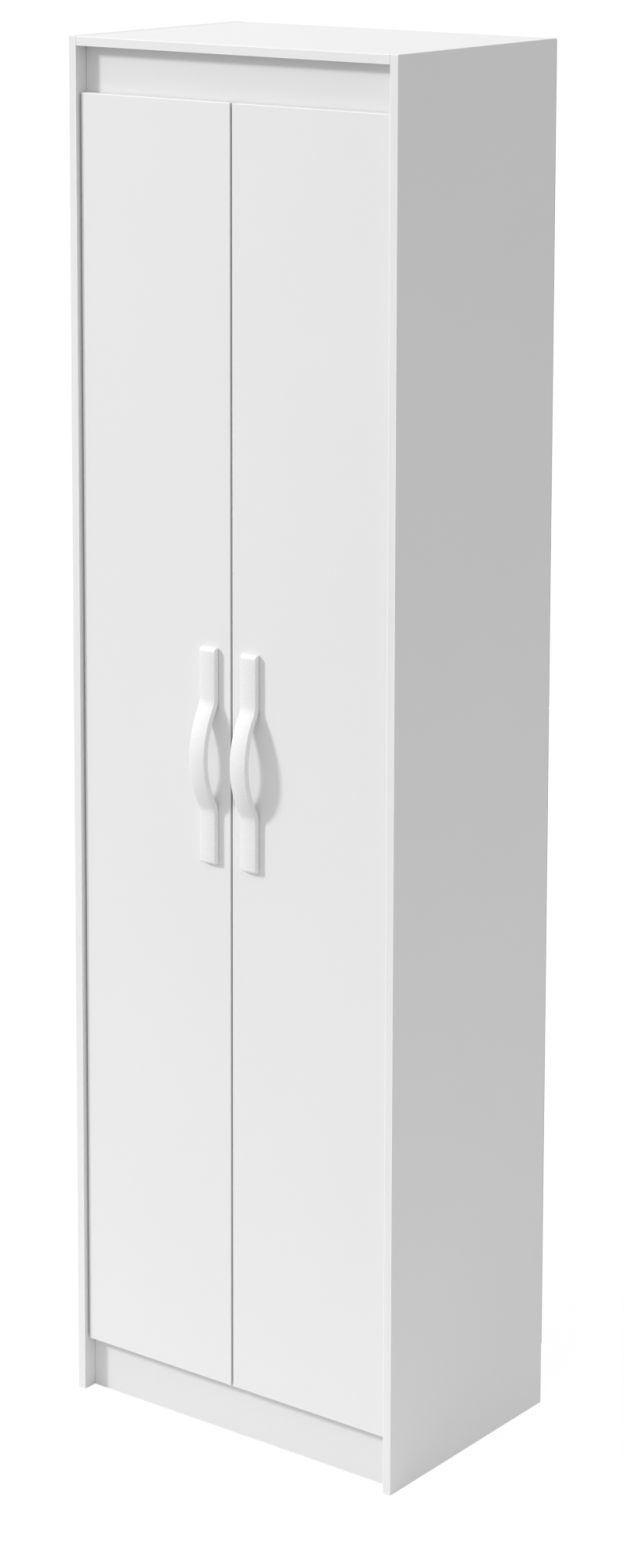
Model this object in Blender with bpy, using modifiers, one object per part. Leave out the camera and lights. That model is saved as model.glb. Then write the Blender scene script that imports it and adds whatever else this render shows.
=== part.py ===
"""Tall utility cabinet of 12 mm coated board, with two inset doors and bow handles.

Metres, +Z up. X = 0 is the middle of the width, Z = 0 the floor, and Y = 0 the middle of the overall
depth, from the handles' bows to the back. Left and right are as seen from the front, which faces -Y.
The doors turn on hinge pins that stand inside concealed cups, so each door's parts hang from an empty
on its pins' axis.
"""
from math import asin, cos, pi, radians, sin, sqrt

import bmesh
import bpy
from mathutils import Matrix, Vector

# Gap between two faces that touch on the real cabinet
FIT_GAP = 0.0003

# Carcass
HEIGHT = 1.800
WIDTH = 0.512
SIDE_DEPTH = 0.339
BOARD = 0.012
BOARD_EDGE = 0.0005
TOP_BOARD_DROP = 0.0003
HEADER_OVERLAP = 0.0204
PLINTH_OVERLAP = 0.0093

# Back of two hardboard sheets, joined by a strip with an H-shaped section
BACK_SHEET = 0.003
BACK_INSET = 0.002
STRIP_FLANGE = 0.001
STRIP_WEB = 0.001
STRIP_HEIGHT = 0.014
STRIP_END_GAP = 0.001

# Shelves, from the lowest; one is fixed between the sides and the others lie on supports
SHELVES = ("lowest_shelf", "fixed_shelf", "upper_shelf", "highest_shelf")
FIXED_SHELF = "fixed_shelf"
SHELF_RECESS = 0.032
SHELF_END_GAP = 0.001

# Shelf supports: a pin in the side panel with a tongue under the shelf
SUPPORT_PIN_RADIUS = 0.0024
SUPPORT_PIN_ROOT = 0.001
SUPPORT_HOLE_SKIN = 0.0039
HOLE_TIP_GAP = 0.0006
TONGUE_LENGTH = 0.009
TONGUE_WIDTH = 0.011
TONGUE_RISE = 0.0030
TONGUE_DROP = 0.0010
SUPPORT_FROM_SHELF_EDGE = 0.048

# Doors
DOOR_THICKNESS = 0.012
DOOR_RECESS = 0.006
DOOR_SIDE_GAP = 0.0028
DOOR_MEETING_GAP = 0.0031
DOOR_TOP_REVEAL = 0.0593
DOOR_FOOT_REVEAL = 0.0707
DOOR_STOP_GAP = 0.0023
DOOR_EDGE = 0.0006

# Hinges on each door, and the pins that they turn on
HINGE_LEVELS = ("lower", "middle", "upper")
HINGE_END_DISTANCE = 0.100
PIN_RADIUS = 0.0010
PIN_CLEARANCE = 0.00006
PIN_END_SETBACK = 0.0003

# Hinge cup, let into the door's back
CUP_BORE_RADIUS = 0.013
CUP_BORE_EDGE = 0.0015
CUP_SKIN = 0.0015
CUP_FLOOR = 0.0006
CUP_NEAR_WALL = 0.0012
CUP_WELL_RADIUS = 0.0085
CUP_WELL_OFFSET = 0.0025
CUP_WELL_FLOOR = 0.0010
FLANGE_THICKNESS = 0.0010
FLANGE_EAR_REACH = 0.024
FLANGE_EAR_WIDTH = 0.012
FLANGE_SHOULDER = 0.009
FLANGE_OVERHANG = 0.0013
FLANGE_CORNER = 0.003

# Hinge arm, fixed to the side panel
ARM_WIDTH = 0.0070
ARM_THICKNESS = 0.0012
KNUCKLE_WALL = 0.00054
KNUCKLE_FLOOR_GAP = 0.0005
ARM_LEG_REACH = 0.0100
ARM_DOOR_CLEARANCE = 0.0040
ARM_SLOT_GAP = 0.0004
ARM_END_GAP = 0.0006
PLATE_THICKNESS = 0.0016
PLATE_LENGTH = 0.036
PLATE_WIDTH = 0.018
PLATE_LEAD = 0.0005

# Handles: flat feet with a bow between them
HANDLE_LENGTH = 0.280
HANDLE_WIDTH = 0.024
HANDLE_THICKNESS = 0.009
HANDLE_FROM_MEETING_LINE = 0.0325
HANDLE_CENTRE_HEIGHT = 0.9025
HANDLE_END_ROUND = 0.0045
HANDLE_EDGE = 0.0014
BOW_SPAN = 0.150
BOW_RISE = 0.0215
BEND_RADIUS = 0.025

# Handle screws, driven from inside the door into the middle of each foot
SCREW_RADIUS = 0.0019
SCREW_HOLE_CLEARANCE = 0.0004
SCREW_HOLE_SKIN = 0.0024
SCREW_HEAD_RADIUS = 0.0042
SCREW_HEAD_HEIGHT = 0.0024
SCREW_CHAMFER = 0.0005

# Bumpers on the doors' backs
BUMPER_RADIUS = 0.004
BUMPER_FROM_EDGE = 0.016

# Wall bracket
BRACKET_LEG = 0.030
BRACKET_WIDTH = 0.020
BRACKET_THICKNESS = 0.0015
BRACKET_BEND = 0.0030
BRACKET_HOLE_RADIUS = 0.0025
BRACKET_HOLE_FROM_END = 0.010

# Facets of round shapes
FINE_SIDES = 32
PIN_SIDES = 24
HOLE_SIDES = 16
ARC_STEPS = 4
BOW_STEPS = 20
WELD = 0.00001

# Carcass faces, worked out from the sizes above; depths are behind the side panels' front edges
INNER_HALF = WIDTH / 2 - BOARD
RAIL_HALF = INNER_HALF - FIT_GAP
BACK_FACE = SIDE_DEPTH + FIT_GAP + BACK_SHEET
BACK_REACH = BACK_FACE + FIT_GAP + STRIP_FLANGE
TOP_FACE = HEIGHT - TOP_BOARD_DROP
CEILING = TOP_FACE - BOARD
PLINTH_HEIGHT = DOOR_FOOT_REVEAL + PLINTH_OVERLAP
FLOOR_FACE = PLINTH_HEIGHT + FIT_GAP + BOARD
DOOR_TOP = CEILING - DOOR_TOP_REVEAL
DOOR_BACK = DOOR_RECESS + DOOR_THICKNESS
RAIL_RECESS = DOOR_BACK + DOOR_STOP_GAP
HEADER_FOOT = DOOR_TOP - HEADER_OVERLAP
SUPPORT_PIN_LENGTH = BOARD - SUPPORT_HOLE_SKIN - HOLE_TIP_GAP

# Handle and its screws
HANDLE_REACH = FIT_GAP + HANDLE_THICKNESS + BOW_RISE
SCREW_HOLE_RADIUS = SCREW_RADIUS + SCREW_HOLE_CLEARANCE
SCREW_GRIP = HANDLE_THICKNESS - SCREW_HOLE_SKIN - HOLE_TIP_GAP
SCREW_OFFSET = (HANDLE_LENGTH + BOW_SPAN) / 4
FRONT = (HANDLE_REACH - DOOR_RECESS - BACK_REACH) / 2

# Hinge pin's axis, from the closed door's outer edge and front face
KNUCKLE_RADIUS = PIN_RADIUS + PIN_CLEARANCE + KNUCKLE_WALL
PIN_INSET = CUP_BORE_EDGE + FIT_GAP + CUP_NEAR_WALL + ARM_SLOT_GAP + KNUCKLE_RADIUS
PIN_DEPTH = CUP_SKIN + FIT_GAP + CUP_FLOOR + KNUCKLE_FLOOR_GAP + KNUCKLE_RADIUS
PIN_X = INNER_HALF - DOOR_SIDE_GAP - PIN_INSET
PIN_Y = DOOR_RECESS + PIN_DEPTH
PIN_TO_DOOR_BACK = DOOR_THICKNESS - PIN_DEPTH
CUP_RADIUS = CUP_BORE_RADIUS - FIT_GAP
CUP_CENTRE = CUP_BORE_EDGE + CUP_BORE_RADIUS - PIN_INSET
PIN_HALF_LENGTH = sqrt(CUP_RADIUS ** 2 - (CUP_CENTRE + PIN_RADIUS) ** 2) - PIN_END_SETBACK

# Colour, roughness and metallic value of each finish
FINISHES = {
    "white board": ((0.80, 0.80, 0.80), 0.45, 0.0),
    "white plastic": ((0.85, 0.85, 0.85), 0.40, 0.0),
    "hardboard": ((0.36, 0.24, 0.15), 0.75, 0.0),
    "zinc": ((0.62, 0.62, 0.64), 0.35, 1.0),
    "steel": ((0.55, 0.55, 0.57), 0.30, 1.0),
    "rubber": ((0.70, 0.70, 0.70), 0.60, 0.0),
}

# Turns from an outline's own X, Y and thickness to the model's axes
OUTLINE_IN_XY = Matrix.Identity(4)
OUTLINE_IN_XZ = Matrix.Rotation(pi / 2, 4, "X")
OUTLINE_IN_YZ = Matrix(((0, 0, 1, 0), (1, 0, 0, 0), (0, 1, 0, 0), (0, 0, 0, 1)))
CYLINDER_TURN = {
    "X": Matrix.Rotation(pi / 2, 4, "Y"),
    "Y": Matrix.Rotation(pi / 2, 4, "X"),
    "Z": Matrix.Identity(4),
}


def fresh_collections():
    """Empty the scene and make the collections for the cabinet and its cutters."""
    for obj in list(bpy.data.objects):
        bpy.data.objects.remove(obj)
    made = []
    for name in ("utility_cabinet", "cutters"):
        collection = bpy.data.collections.new(name)
        bpy.context.scene.collection.children.link(collection)
        made.append(collection)
    return made


PARTS, CUTTERS = fresh_collections()


def behind(distance):
    """Y of a plane this far behind the side panels' front edges."""
    return FRONT + distance


def mesh_from(bm, name):
    """Turn a finished bmesh into a mesh."""
    mesh = bpy.data.meshes.new(name)
    bm.to_mesh(mesh)
    bm.free()
    return mesh


def add_object(name, data, finish, place=(0, 0, 0), hinge=None):
    """Put data in the cabinet with its own material, and hang it from a hinge's empty if one is given."""
    obj = bpy.data.objects.new(name, data)
    PARTS.objects.link(obj)
    obj.location = Vector(place)
    if hinge is not None:
        obj.parent = hinge
        obj.location -= hinge.location
    colour, roughness, metallic = FINISHES[finish]
    material = bpy.data.materials.new(name)
    material.use_nodes = True
    shader = material.node_tree.nodes["Principled BSDF"]
    shader.inputs["Base Color"].default_value = (*colour, 1.0)
    shader.inputs["Roughness"].default_value = roughness
    shader.inputs["Metallic"].default_value = metallic
    if not data.materials:
        data.materials.append(material)
    obj.material_slots[0].link = "OBJECT"
    obj.material_slots[0].material = material
    return obj


def add_cutter(name, data, place=(0, 0, 0)):
    """A hidden object that a Boolean reads."""
    obj = bpy.data.objects.new(name, data)
    CUTTERS.objects.link(obj)
    obj.location = place
    obj.hide_render = True
    obj.display_type = "WIRE"
    return obj


def combine(target, cutter, operation="DIFFERENCE"):
    """Join the target with a cutter, or cut it."""
    boolean = target.modifiers.new(cutter.name, "BOOLEAN")
    boolean.operation = operation
    boolean.solver = "EXACT"
    boolean.object = cutter


def round_edges(obj, width, segments=1):
    """Round an object's sharp edges."""
    bevel = obj.modifiers.new("Edges", "BEVEL")
    bevel.width = width
    bevel.segments = segments
    bevel.limit_method = "ANGLE"
    bevel.angle_limit = radians(35)


def finished_mesh(obj):
    """The mesh that an object's curve or modifiers give, as plain data. The object is removed."""
    bpy.context.view_layer.update()
    graph = bpy.context.evaluated_depsgraph_get()
    mesh = bpy.data.meshes.new_from_object(obj.evaluated_get(graph))
    bpy.data.objects.remove(obj)
    return mesh


def box_mesh(name, x, y, z):
    """A box from its low and high faces along each axis, about its own middle, and that middle."""
    low = Vector((x[0], y[0], z[0]))
    high = Vector((x[1], y[1], z[1]))
    bm = bmesh.new()
    bmesh.ops.create_cube(bm, size=1.0)
    bmesh.ops.scale(bm, vec=high - low, verts=bm.verts)
    return mesh_from(bm, name), (low + high) / 2


def cylinder_mesh(name, radius, length, axis, sides):
    """A cylinder about its own middle, along the named axis."""
    bm = bmesh.new()
    bmesh.ops.create_cone(bm, cap_ends=True, segments=sides, radius1=radius, radius2=radius,
                          depth=length, matrix=CYLINDER_TURN[axis])
    return mesh_from(bm, name)


def drill(target, name, radius, axis, start, end, across, sides=HOLE_SIDES):
    """Drill a round hole from start to end along an axis, at the other two coordinates in across."""
    middle = list(across)
    middle.insert("XYZ".index(axis), (start + end) / 2)
    cutter = add_cutter(name, cylinder_mesh(name, radius, abs(end - start), axis, sides), middle)
    combine(target, cutter)


def extruded_mesh(name, outlines, thickness, turn):
    """A flat outline, with any holes as further outlines, thickened evenly to both sides."""
    curve = bpy.data.curves.new(name, "CURVE")
    curve.dimensions = "2D"
    curve.fill_mode = "BOTH"
    curve.extrude = thickness / 2
    for outline in outlines:
        spline = curve.splines.new("POLY")
        spline.points.add(len(outline) - 1)
        for point, (x, y) in zip(spline.points, outline):
            point.co = (x, y, 0.0, 1.0)
        spline.use_cyclic_u = True
    flat = finished_mesh(add_cutter(name, curve))
    bm = bmesh.new()
    bm.from_mesh(flat)
    bmesh.ops.remove_doubles(bm, verts=bm.verts, dist=WELD)
    bmesh.ops.transform(bm, matrix=turn, verts=bm.verts)
    bmesh.ops.recalc_face_normals(bm, faces=bm.faces)
    return mesh_from(bm, name)


def arc(centre, radius, start, end, steps):
    """Points along an arc, with angles in radians."""
    points = []
    for step in range(steps + 1):
        angle = start + (end - start) * step / steps
        points.append((centre[0] + radius * cos(angle), centre[1] + radius * sin(angle)))
    return points


def rounded(corners, radius):
    """An outline whose corners are rounded to one radius."""
    outline = []
    for index, corner in enumerate(corners):
        here = Vector(corner)
        before = (Vector(corners[index - 1]) - here).normalized()
        after = (Vector(corners[(index + 1) % len(corners)]) - here).normalized()
        half = before.angle(after) / 2
        centre = here + (before + after).normalized() * radius / sin(half)
        first = here + before * radius * cos(half) / sin(half) - centre
        turn = first.angle_signed(here + after * radius * cos(half) / sin(half) - centre)
        for step in range(ARC_STEPS + 1):
            spoke = first.copy()
            spoke.rotate(Matrix.Rotation(-turn * step / ARC_STEPS, 2))
            outline.append(tuple(centre + spoke))
    return outline


def turned_mesh(name, profile, sides):
    """A solid turned about Z from (radius, height) points that run down its outer side."""
    mesh = bpy.data.meshes.new(name)
    links = [(index, index + 1) for index in range(len(profile) - 1)]
    mesh.from_pydata([(radius, 0.0, height) for radius, height in profile], links, [])
    obj = add_cutter(name, mesh)
    screw = obj.modifiers.new("Turn", "SCREW")
    screw.steps = sides
    screw.render_steps = sides
    screw.use_merge_vertices = True
    screw.merge_threshold = WELD
    return finished_mesh(obj)


def board(name, x, y, z, finish="white board", edge=BOARD_EDGE, hinge=None):
    """A board from its low and high faces along each axis."""
    mesh, middle = box_mesh(name, x, y, z)
    obj = add_object(name, mesh, finish, middle, hinge)
    if edge:
        round_edges(obj, edge)
    return obj


def shelf_heights():
    """Height of each shelf's underside by name, with equal spaces between floor, shelves and ceiling."""
    space = (CEILING - FLOOR_FACE - len(SHELVES) * BOARD) / (len(SHELVES) + 1)
    return {name: FLOOR_FACE + space + index * (space + BOARD) for index, name in enumerate(SHELVES)}


def support_heights():
    """Height of the support pins under each loose shelf, by the shelf's name."""
    return {name: height - FIT_GAP - TONGUE_RISE
            for name, height in shelf_heights().items() if name != FIXED_SHELF}


def support_depths():
    """Depth of the front and rear support pins, by name."""
    return {"front": SHELF_RECESS + SUPPORT_FROM_SHELF_EDGE,
            "rear": SIDE_DEPTH - SHELF_END_GAP - SUPPORT_FROM_SHELF_EDGE}


def hinge_heights():
    """Height of each hinge's middle by level, evenly spread over the door."""
    low = DOOR_FOOT_REVEAL + HINGE_END_DISTANCE
    pitch = (DOOR_TOP - HINGE_END_DISTANCE - low) / (len(HINGE_LEVELS) - 1)
    return {level: low + pitch * index for index, level in enumerate(HINGE_LEVELS)}


def make_side_panel(name, side):
    """A side panel with blind holes for the shelf supports; side is -1 on the left and 1 on the right."""
    inner = side * INNER_HALF
    faces = sorted((inner, side * WIDTH / 2))
    panel = board(name, faces, (behind(0), behind(SIDE_DEPTH)), (0, HEIGHT))
    depth = BOARD - SUPPORT_HOLE_SKIN
    for height in support_heights().values():
        for distance in support_depths().values():
            drill(panel, "support_hole", SUPPORT_PIN_RADIUS + FIT_GAP, "X",
                  inner + side * depth, inner - side * depth, (behind(distance), height))


def make_frame_boards():
    """The boards between the sides, apart from the shelves."""
    width = (-RAIL_HALF, RAIL_HALF)
    rail = (behind(RAIL_RECESS), behind(RAIL_RECESS + BOARD))
    board("top_board", width, (behind(0), behind(SIDE_DEPTH)), (CEILING, TOP_FACE))
    board("header_rail", width, rail, (HEADER_FOOT, CEILING - FIT_GAP))
    board("bottom_board", width, (behind(RAIL_RECESS), behind(SIDE_DEPTH)),
          (PLINTH_HEIGHT + FIT_GAP, FLOOR_FACE))
    board("front_plinth", width, rail, (0, PLINTH_HEIGHT))
    board("rear_plinth", width, (behind(SIDE_DEPTH - BOARD), behind(SIDE_DEPTH)), (0, PLINTH_HEIGHT))


def make_shelves():
    """The shelves: the fixed one is tight between the sides, and the others lie loose on supports."""
    for name, height in shelf_heights().items():
        fixed = name == FIXED_SHELF
        half = RAIL_HALF if fixed else INNER_HALF - SHELF_END_GAP
        rear = SIDE_DEPTH if fixed else SIDE_DEPTH - SHELF_END_GAP
        board(name, (-half, half), (behind(SHELF_RECESS), behind(rear)), (height, height + BOARD))


def make_shelf_supports():
    """Four supports under each loose shelf, left and right of it, all from one mesh."""
    length = SUPPORT_PIN_LENGTH + SUPPORT_PIN_ROOT
    pin = cylinder_mesh("support_pin", SUPPORT_PIN_RADIUS, length, "X", HOLE_SIDES)
    support = add_cutter("support_pin", pin, (length / 2 - SUPPORT_PIN_LENGTH, 0, 0))
    tongue, middle = box_mesh("support_tongue", (FIT_GAP, FIT_GAP + TONGUE_LENGTH),
                              (-TONGUE_WIDTH / 2, TONGUE_WIDTH / 2), (-TONGUE_DROP, TONGUE_RISE))
    combine(support, add_cutter("support_tongue", tongue, middle), "UNION")
    bpy.context.view_layer.update()
    place = support.matrix_world.copy()
    mesh = finished_mesh(support)
    mesh.transform(place)
    for shelf, height in support_heights().items():
        for side_name, side in (("left", -1), ("right", 1)):
            for depth_name, distance in support_depths().items():
                name = f"{shelf}_support_{side_name}_{depth_name}"
                support = add_object(name, mesh, "zinc", (side * INNER_HALF, behind(distance), height))
                support.rotation_euler.z = 0 if side < 0 else pi


def make_back():
    """Two hardboard sheets on the rear edges, and the strip that holds their meeting edges."""
    half = WIDTH / 2 - BACK_INSET
    sheet = (behind(SIDE_DEPTH + FIT_GAP), behind(BACK_FACE))
    joint = (FLOOR_FACE + CEILING) / 2
    reach = STRIP_WEB / 2 + FIT_GAP
    board("back_sheet_lower", (-half, half), sheet, (PLINTH_HEIGHT, joint - reach), "hardboard", 0)
    board("back_sheet_upper", (-half, half), sheet, (joint + reach, HEIGHT - BACK_INSET), "hardboard", 0)
    groove = (BACK_SHEET / 2 + FIT_GAP, STRIP_HEIGHT / 2)
    outer = groove[0] + STRIP_FLANGE
    web = STRIP_WEB / 2
    upper = [(-outer, groove[1]), (-groove[0], groove[1]), (-groove[0], web),
             (groove[0], web), (groove[0], groove[1]), (outer, groove[1])]
    lower = [(-y, -z) for y, z in upper]
    mesh = extruded_mesh("back_joint_strip", [upper + lower], 2 * (INNER_HALF - STRIP_END_GAP), OUTLINE_IN_YZ)
    add_object("back_joint_strip", mesh, "white plastic", (0, (sheet[0] + sheet[1]) / 2, joint))


def make_wall_bracket():
    """A steel angle under the top board, whose upright leg takes the screw into the wall."""
    leg = BRACKET_LEG
    thick = BRACKET_THICKNESS
    bend = BRACKET_BEND
    outer_bend = arc((-bend, -bend), bend, 0, pi / 2, ARC_STEPS)
    inner_bend = arc((-bend, -bend), bend - thick, pi / 2, 0, ARC_STEPS)
    outline = [(0, -leg), *outer_bend, (-leg, 0), (-leg, -thick), *inner_bend, (-thick, -leg)]
    mesh = extruded_mesh("wall_bracket", [outline], BRACKET_WIDTH, OUTLINE_IN_YZ)
    corner = (behind(SIDE_DEPTH), CEILING - FIT_GAP)
    bracket = add_object("wall_bracket", mesh, "steel", (0, *corner))
    hole = leg - BRACKET_HOLE_FROM_END
    drill(bracket, "wall_screw_hole", BRACKET_HOLE_RADIUS, "Y",
          corner[0] - 2 * thick, corner[0] + thick, (0, corner[1] - hole))
    drill(bracket, "board_screw_hole", BRACKET_HOLE_RADIUS, "Z",
          corner[1] - 2 * thick, corner[1] + thick, (0, corner[0] - hole))


def handle_stations():
    """Matching points (height, distance from the door) along the handle's inner and outer faces."""
    half_thick = HANDLE_THICKNESS / 2
    half_span = BOW_SPAN / 2
    both_radii = (half_span ** 2 + BOW_RISE ** 2) / (2 * BOW_RISE)
    bow_radius = both_radii - BEND_RADIUS
    bend_angle = asin(half_span / both_radii)
    stations = [across_band((HANDLE_LENGTH / 2 - HANDLE_END_ROUND, half_thick), 0)]
    for step in range(ARC_STEPS + 1):
        tilt = bend_angle * step / ARC_STEPS
        middle = (half_span - BEND_RADIUS * sin(tilt), half_thick + BEND_RADIUS * (1 - cos(tilt)))
        stations.append(across_band(middle, tilt))
    for step in range(1, BOW_STEPS // 2 + 1):
        tilt = bend_angle * (1 - 2 * step / BOW_STEPS)
        middle = (bow_radius * sin(tilt), half_thick + BOW_RISE - bow_radius * (1 - cos(tilt)))
        stations.append(across_band(middle, tilt))
    mirrored = [((-a, b), (-c, d)) for (a, b), (c, d) in reversed(stations[:-1])]
    return stations + mirrored


def across_band(middle, tilt):
    """The inner and outer points of the handle's band at a tilted section."""
    out = Vector((sin(tilt), cos(tilt))) * HANDLE_THICKNESS / 2
    return tuple(Vector(middle) - out), tuple(Vector(middle) + out)


def handle_mesh():
    """The handle's side outline as a ladder with rounded ends, thickened to its width."""
    bm = bmesh.new()

    def place(point):
        return bm.verts.new((-HANDLE_WIDTH / 2, -point[1], point[0]))

    rungs = [[place(point) for point in section] for section in handle_stations()]
    for first, second in zip(rungs, rungs[1:]):
        bm.faces.new((first[0], first[1], second[1], second[0]))
    half = HANDLE_LENGTH / 2
    corner = arc((half - HANDLE_END_ROUND, HANDLE_THICKNESS - HANDLE_END_ROUND),
                 HANDLE_END_ROUND, pi / 2, 0, ARC_STEPS)
    for rung, sign in ((rungs[0], 1), (rungs[-1], -1)):
        end = [place((sign * height, distance)) for height, distance in corner[1:] + [(half, 0)]]
        bm.faces.new([rung[1], *end, rung[0]])
    bmesh.ops.recalc_face_normals(bm, faces=bm.faces)
    swept = bmesh.ops.extrude_face_region(bm, geom=list(bm.faces))
    moved = [item for item in swept["geom"] if isinstance(item, bmesh.types.BMVert)]
    bmesh.ops.translate(bm, vec=(HANDLE_WIDTH, 0, 0), verts=moved)
    bmesh.ops.recalc_face_normals(bm, faces=bm.faces)
    return mesh_from(bm, "handle")


def screw_mesh():
    """A handle screw along Z, its head's outer face at Z = 0 and its tip above."""
    neck = SCREW_HEAD_HEIGHT
    tip = neck + FIT_GAP + DOOR_THICKNESS + FIT_GAP + SCREW_GRIP
    profile = [(0, tip), (SCREW_RADIUS - SCREW_CHAMFER, tip), (SCREW_RADIUS, tip - SCREW_CHAMFER),
               (SCREW_RADIUS, neck), (SCREW_HEAD_RADIUS, neck), (SCREW_HEAD_RADIUS, SCREW_CHAMFER),
               (SCREW_HEAD_RADIUS - SCREW_CHAMFER, 0), (0, 0)]
    return turned_mesh("handle_screw", profile, HOLE_SIDES)


def hinge_cup_mesh():
    """The cast cup, about the pin's axis, with X away from the side panel and Y to the back."""
    centre = CUP_CENTRE
    floor = CUP_SKIN + FIT_GAP - PIN_DEPTH
    flange_foot = PIN_TO_DOOR_BACK + FIT_GAP
    flange_face = flange_foot + FLANGE_THICKNESS
    mouth = flange_face + FLANGE_THICKNESS
    near = centre - CUP_RADIUS
    far = centre + CUP_RADIUS + FLANGE_OVERHANG
    ear = FLANGE_EAR_WIDTH / 2
    corners = [(near, -FLANGE_SHOULDER), (centre - ear, -FLANGE_EAR_REACH),
               (centre + ear, -FLANGE_EAR_REACH), (far, -FLANGE_SHOULDER),
               (far, FLANGE_SHOULDER), (centre + ear, FLANGE_EAR_REACH),
               (centre - ear, FLANGE_EAR_REACH), (near, FLANGE_SHOULDER)]
    plate = extruded_mesh("cup_flange", [rounded(corners, FLANGE_CORNER)], FLANGE_THICKNESS, OUTLINE_IN_XZ)
    plate.transform(Matrix.Translation((0, (flange_foot + flange_face) / 2, 0)))
    cup = add_cutter("cup_flange", plate)
    top = (flange_foot + flange_face) / 2
    barrel = cylinder_mesh("cup_barrel", CUP_RADIUS, top - floor, "Y", FINE_SIDES)
    combine(cup, add_cutter("cup_barrel", barrel, (centre, (floor + top) / 2, 0)), "UNION")
    drill(cup, "cup_well", CUP_WELL_RADIUS, "Y", floor + CUP_WELL_FLOOR, mouth,
          (centre + CUP_WELL_OFFSET, 0), PIN_SIDES)
    slot_half = ARM_WIDTH / 2 + ARM_SLOT_GAP
    slot, middle = box_mesh("cup_slot",
                            (-KNUCKLE_RADIUS - ARM_SLOT_GAP, ARM_LEG_REACH + ARM_THICKNESS + ARM_END_GAP),
                            (floor + CUP_FLOOR, mouth), (-slot_half, slot_half))
    combine(cup, add_cutter("cup_slot", slot, middle))
    drill(cup, "cup_pin_hole", PIN_RADIUS + PIN_CLEARANCE, "Z",
          -CUP_BORE_RADIUS, CUP_BORE_RADIUS, (0, 0), PIN_SIDES)
    return finished_mesh(cup)


def hinge_arm_mesh():
    """The bent arm, about the pin's axis: knuckle, leg in the cup, riser, return and fixing plate."""
    thick = ARM_THICKNESS
    knuckle = KNUCKLE_RADIUS
    leg_back = thick - knuckle
    rise = PIN_TO_DOOR_BACK + ARM_DOOR_CLEARANCE
    outer = ARM_LEG_REACH + thick
    plate_low = FIT_GAP - PIN_INSET - DOOR_SIDE_GAP
    plate_middle = plate_low + PLATE_THICKNESS / 2
    start = asin(leg_back / knuckle)
    outline = [(outer, -knuckle), (outer, rise + thick), (plate_middle, rise + thick),
               (plate_middle, rise), (ARM_LEG_REACH, rise), (ARM_LEG_REACH, leg_back)]
    outline += arc((0, 0), knuckle, start, 1.5 * pi, PIN_SIDES)
    hole = arc((0, 0), (PIN_RADIUS + PIN_CLEARANCE) / cos(pi / PIN_SIDES), 0,
               2 * pi * (1 - 1 / PIN_SIDES), PIN_SIDES - 1)
    strip = extruded_mesh("arm_strip", [outline, hole], ARM_WIDTH, OUTLINE_IN_XY)
    arm = add_cutter("arm_strip", strip)
    plate, middle = box_mesh("arm_plate", (plate_low, plate_low + PLATE_THICKNESS),
                             (rise - PLATE_LEAD, rise - PLATE_LEAD + PLATE_LENGTH),
                             (-PLATE_WIDTH / 2, PLATE_WIDTH / 2))
    combine(arm, add_cutter("arm_plate", plate, middle), "UNION")
    return finished_mesh(arm)


def make_hinges(name, side, axis, meshes):
    """A door's hinges; the right ones are the left ones turned over about Y."""
    arm, cup, pin = meshes
    for level, height in hinge_heights().items():
        place = (side * PIN_X, behind(PIN_Y), height)
        made = [add_object(f"{name}_{level}_hinge_arm", arm, "steel", place),
                add_object(f"{name}_{level}_hinge_cup", cup, "zinc", place, axis),
                add_object(f"{name}_{level}_hinge_pin", pin, "steel", place, axis)]
        for obj in made:
            obj.rotation_euler.y = 0 if side < 0 else pi


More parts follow.
